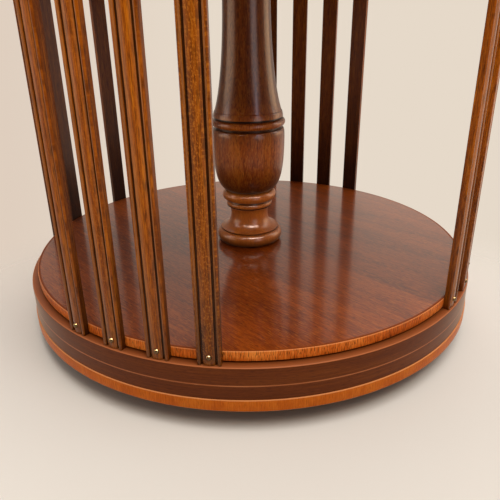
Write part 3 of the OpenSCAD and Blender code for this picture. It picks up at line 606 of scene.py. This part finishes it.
for i, angle in enumerate(slatAngles):
    place = i % slat["group"]
    bm = bmesh.new()
    uv = bm.loops.layers.uv.new("UVMap")
    grime, wear, speckle = (bm.verts.layers.float.new(name) for name in ("grime", "wear", "speckle"))
    verts = []
    for x, y in section:
        vert = bm.verts.new(((slat["seat"] + x) * mm, y * mm, slat["low"] * mm))
        vert[grime], vert[wear] = slatMarks(x, y, slat["leftSheen"][place])
        vert[speckle] = slat["speckle"][place]
        verts.append(vert)
    face = bm.faces.new(verts)
    grown = bmesh.ops.extrude_face_region(bm, geom=[face])["geom"]
    raised = [part for part in grown if isinstance(part, bmesh.types.BMVert)]
    bmesh.ops.translate(bm, verts=raised, vec=(0, 0, slat["long"] * mm))
    ends = [edge for edge in bm.edges if abs(edge.verts[0].co.z - edge.verts[1].co.z) < mm]
    bmesh.ops.bevel(bm, geom=ends, offset=slat["endRound"] * mm, affect="EDGES", segments=2, profile=0.5,
                    material=-1, clamp_overlap=True)
    for cut in slat["shadeCuts"]:
        bmesh.ops.bisect_plane(bm, geom=bm.verts[:] + bm.edges[:] + bm.faces[:],
                               plane_co=(0, 0, (slat["low"] + cut) * mm), plane_no=(0, 0, 1))
    for vert in bm.verts:  # painted shade, darker towards the foot, over each slat's own tone
        up = min(1, (vert.co.z / mm - slat["low"]) / slat["shadeRuns"])
        shaded = vert[grime] + slat["shade"][place] + slat["footShade"] * (1 - up) ** slat["shadeFall"]
        vert[grime] = min(slat["shadeMost"], shaded)
    for face in bm.faces:  # each slat takes its grain from another place in the board
        side = 1 if face.calc_center_median().y > 0 else -1
        for loop in face.loops:
            x, y, z = loop.vert.co
            across = y + (x - slat["seat"] * mm) * side
            loop[uv].uv = (across + slat["grainShift"][0] * i, z + slat["grainShift"][1] * i)
    bmesh.ops.rotate(bm, verts=bm.verts, cent=(0, 0, 0), matrix=Matrix.Rotation(math.radians(angle), 3, "Z"))
    finishPiece(bm, {
        "name": "slatMoulding%02d" % (i + 1), "body": "case", "nodes": ("slat_%02d" % (i + 1),),
        "slot": "slat_mahogany", "finish": slatMahogany, "sharp": slat["sharp"]})
print("slats moulded:", len(slatAngles))

# Pins: a domed head on each slat at each shelf, with its shank in the wood
pin = {"headD": 5.0, "headH": 1.8, "shankD": 1.8, "shankL": 18.0, "rise": 2.0, "facets": 24, "domeSteps": 8}
pinHeights = [sum(case[key]) / 2 + pin["rise"] for key in ("lowerShelf", "middleShelf", "topShelf")]
domeR = ((pin["headD"] / 2) ** 2 + pin["headH"] ** 2) / (2 * pin["headH"])
domeTurn = math.degrees(math.asin(pin["headD"] / 2 / domeR))
shankR = pin["shankD"] / 2
pinOutline = [
    (0, -pin["shankL"]), (shankR, -pin["shankL"]), (shankR, 0),
    *roundCorner(0, pin["headH"] - domeR, domeR, 90 - domeTurn, 90, pin["domeSteps"])]
outwards = Matrix.Rotation(math.radians(90), 3, "Y")  # the outline is drawn upright
bm = bmesh.new()
for height in pinHeights:
    for angle in slatAngles:
        verts = [bm.verts.new((r * mm, 0, z * mm)) for r, z in pinOutline]
        edges = [bm.edges.new(pair) for pair in zip(verts, verts[1:])]
        bmesh.ops.spin(bm, geom=verts + edges, cent=(0, 0, 0), axis=(0, 0, 1), angle=2 * math.pi,
                       steps=pin["facets"], use_merge=True, use_duplicate=False)
        placed = [vert for vert in bm.verts if not vert.tag]  # the pins before this one are tagged
        around = Matrix.Rotation(math.radians(angle), 3, "Z")
        bmesh.ops.rotate(bm, verts=placed, cent=(0, 0, 0), matrix=outwards)
        bmesh.ops.translate(bm, verts=placed, vec=((slat["seat"] + slat["thick"]) * mm, 0, height * mm))
        bmesh.ops.rotate(bm, verts=placed, cent=(0, 0, 0), matrix=around)
        for vert in placed:
            vert.tag = True
polished.objects.link(finishPiece(bm, {
    "name": "slatPinHeads", "body": "case", "nodes": ("slat_pins",), "slot": "brass", "finish": pinBrass}))
print("pins set:", len(pinHeights) * len(slatAngles))

# Studio: pale paper floor that keeps the shadow and runs out into the pale backdrop
studio = {
    "floor": "#e5ded4", "floorRough": 0.6, "floorR": 9, "floorFacets": 96,
    "fadeAt": (-0.074, -0.186, 0), "fadeFrom": 0.27, "fadeTo": 0.55,
    "backdrop": "#e6d9c9", "backdropLeft": "#dfcebe", "leftFrom": -0.08, "leftTo": -0.4,
    "light": "#ffffff", "worldLight": 0.9, "room": "#665c54", "roomFrom": -0.2, "roomTo": 0.8,
    "mirrorFrom": -0.35, "mirrorTo": 0.6, "mirrorLeft": -0.3, "mirrorRight": 0.25,  # brighter to the right
    "rightWay": (0.93, -0.368, 0), "frontWay": (-0.368, -0.93, 0), "aim": (0, 0, 0.2),
}


def backdropRays(tree):  # rays that show the backdrop: the camera's, and those off polish or through glass
    path = addNode(tree, "ShaderNodeLightPath", {}, {})
    shown = path.outputs["Is Camera Ray"]
    for ray in ("Is Glossy Ray", "Is Transmission Ray"):
        shown = addNode(tree, "ShaderNodeMath", {"operation": "MAXIMUM"}, {
            0: shown, 1: path.outputs[ray]}).outputs[0]
    return path, shown


paper = bpy.data.materials.new("studioPaper")
paper.use_nodes = True
tree = paper.node_tree
tree.nodes.clear()
coords = addNode(tree, "ShaderNodeTexCoord", {}, {}).outputs["Object"]
reach = addNode(tree, "ShaderNodeVectorMath", {"operation": "DISTANCE"}, {0: coords, 1: studio["fadeAt"]})
fade = addNode(tree, "ShaderNodeMapRange", {"interpolation_type": "SMOOTHSTEP"}, {
    "Value": reach.outputs["Value"], "From Min": studio["fadeFrom"], "From Max": studio["fadeTo"]})
path, shown = backdropRays(tree)
share = addNode(tree, "ShaderNodeMath", {"operation": "MULTIPLY"}, {0: fade.outputs["Result"], 1: shown})
matt = addNode(tree, "ShaderNodeBsdfDiffuse", {}, {
    "Color": toLinear(studio["floor"]), "Roughness": studio["floorRough"]})
clear = addNode(tree, "ShaderNodeBsdfTransparent", {}, {})  # far paper lets the backdrop through
mix = addNode(tree, "ShaderNodeMixShader", {}, {
    0: share.outputs[0], 1: matt.outputs["BSDF"], 2: clear.outputs["BSDF"]})
addNode(tree, "ShaderNodeOutputMaterial", {}, {"Surface": mix.outputs["Shader"]})
bm = bmesh.new()
bmesh.ops.create_circle(bm, cap_ends=True, segments=studio["floorFacets"], radius=studio["floorR"])
floorMesh = bpy.data.meshes.new("studioFloor")
bm.to_mesh(floorMesh)
bm.free()
floorMesh.materials.append(paper)
floor = bpy.data.objects.new("studioFloor", floorMesh)
scene.collection.objects.link(floor)

# Room: pale where it shows behind the part, even light elsewhere, and dim on the camera's side
world = bpy.data.worlds.new("studioRoom")
world.use_nodes = True
scene.world = world
tree = world.node_tree
tree.nodes.clear()
path, shown = backdropRays(tree)
coords = addNode(tree, "ShaderNodeTexCoord", {}, {}).outputs["Generated"]
sideways = addNode(tree, "ShaderNodeVectorMath", {"operation": "DOT_PRODUCT"}, {
    0: coords, 1: studio["rightWay"]}).outputs["Value"]
left = addNode(tree, "ShaderNodeMapRange", {}, {
    "Value": sideways, "From Min": studio["leftFrom"], "From Max": studio["leftTo"]})
tone = addNode(tree, "ShaderNodeMix", {"data_type": "RGBA"}, {
    "Factor": left.outputs["Result"],
    mixA: toLinear(studio["backdrop"]), mixB: toLinear(studio["backdropLeft"])})
light = addNode(tree, "ShaderNodeBackground", {}, {
    "Color": toLinear(studio["light"]), "Strength": studio["worldLight"]})
shade = addNode(tree, "ShaderNodeMapRange", {}, {
    "Value": sideways, "From Min": studio["mirrorFrom"], "From Max": studio["mirrorTo"],
    "To Min": studio["mirrorLeft"], "To Max": studio["mirrorRight"]})
level = addNode(tree, "ShaderNodeMath", {"operation": "MULTIPLY_ADD"}, {
    0: shade.outputs["Result"], 1: path.outputs["Is Glossy Ray"], 2: 1})
show = addNode(tree, "ShaderNodeBackground", {}, {
    "Color": tone.outputs[mixOut], "Strength": level.outputs[0]})
towards = addNode(tree, "ShaderNodeVectorMath", {"operation": "DOT_PRODUCT"}, {
    0: coords, 1: studio["frontWay"]})
dim = addNode(tree, "ShaderNodeMapRange", {"interpolation_type": "SMOOTHSTEP"}, {
    "Value": towards.outputs["Value"], "From Min": studio["roomFrom"], "From Max": studio["roomTo"]})
room = addNode(tree, "ShaderNodeBackground", {}, {"Color": toLinear(studio["room"]), "Strength": 1})
unseen = addNode(tree, "ShaderNodeMath", {"operation": "SUBTRACT", "use_clamp": True}, {
    0: dim.outputs["Result"], 1: path.outputs["Is Camera Ray"]})
mix = addNode(tree, "ShaderNodeMixShader", {}, {
    0: shown, 1: light.outputs["Background"], 2: show.outputs["Background"]})
mix = addNode(tree, "ShaderNodeMixShader", {}, {
    0: unseen.outputs[0], 1: mix.outputs["Shader"], 2: room.outputs["Background"]})
addNode(tree, "ShaderNodeOutputWorld", {}, {"Surface": mix.outputs["Shader"]})

for entry in passedBy.collection_objects:
    entry.light_linking.link_state = "EXCLUDE"
softboxes = (  # name, place, size, watts, colour, whether in reflections alone, light-linking collection
    ("keySoftbox", (0.1, -0.93, 2.39), (1.3, 1.3), 33, "#ffffff", False, None),
    ("backSoftbox", (0.4, 0.9, 2.2), (1.6, 1.6), 20, "#ffffff", False, None),
    ("frontSoftbox", (-0.18, -1.46, 1.84), (0.45, 0.45), 5.5, "#ffeedd", False, None),
    ("frontBar", (-0.25, -1.2, 1.75), (2.6, 0.8), 196, "#ffeedd", True, polished),
    ("footGlint", (-0.23, -1.12, 1.6), (0.42, 0.42), 32, "#ffeedd", True, polished),
    ("frontStrip", (0.344, -1.869, 0.3), (0.9, 0.6), 7.0, "#f0e2dc", False, polished),
    ("rightStrip", (1.885, -0.25, 0.27), (1.3, 0.5), 8.6, "#ffd4a4", True, polished),
    ("leftStrip", (-1.862, 0.381, 0.27), (1.5, 0.5), 11, "#ffdcb8", True, polished),
    ("leftFill", (-1.862, 0.381, 0.27), (1.5, 0.5), 1.5, "#fff0e0", False, passedBy),
    ("leftTall", (-1.862, 0.381, 1.3), (0.8, 1.5), 16, "#fff4ec", True, polished),
    ("frontTall", (0.344, -1.869, 1.3), (0.3, 1.5), 10, "#e4e0f4", True, polished),
    ("rightTall", (1.885, -0.25, 1.3), (0.8, 1.5), 17, "#ffeedd", True, polished),
)
for name, place, size, watts, colour, glintOnly, lit in softboxes:
    lamp = bpy.data.lights.new(name, "AREA")
    lamp.shape = "RECTANGLE"
    lamp.energy = watts
    lamp.size, lamp.size_y = size
    lamp.color = toLinear(colour)[:3]
    softbox = bpy.data.objects.new(name, lamp)
    scene.collection.objects.link(softbox)
    softbox.visible_diffuse = not glintOnly
    if lit:
        softbox.light_linking.receiver_collection = lit
    softbox.location = place
    softbox.rotation_mode = "QUATERNION"
    softbox.rotation_quaternion = (Vector(studio["aim"]) - Vector(place)).to_track_quat("-Z", "Y")
print("studio lit")

# Camera where the photograph was taken, found from the round edges and the slats
view = {
    "lens": 39.08, "sensor": 36, "away": 609.0, "above": 326.4,  # mm
    "azimuth": -21.6, "down": 23.75, "roll": -0.864,  # degrees
}
azimuth, down, roll = (math.radians(view[key]) for key in ("azimuth", "down", "roll"))
ahead = Vector((-math.sin(azimuth), math.cos(azimuth), 0))
right = Vector((math.cos(azimuth), math.sin(azimuth), 0))
up = Vector((0, 0, 1))
look = math.cos(down) * ahead - math.sin(down) * up
rise = math.sin(down) * ahead + math.cos(down) * up
axes = (math.cos(roll) * right + math.sin(roll) * rise, math.cos(roll) * rise - math.sin(roll) * right, -look)
stand = up * view["above"] * mm - ahead * view["away"] * mm
camera = bpy.data.objects.new("camera", bpy.data.cameras.new("camera"))
camera.data.lens = view["lens"]
camera.data.sensor_width = view["sensor"]
camera.matrix_world = Matrix.Translation(stand) @ Matrix(axes).transposed().to_4x4()
scene.collection.objects.link(camera)
scene.camera = camera
scene.view_settings.view_transform = "Standard"
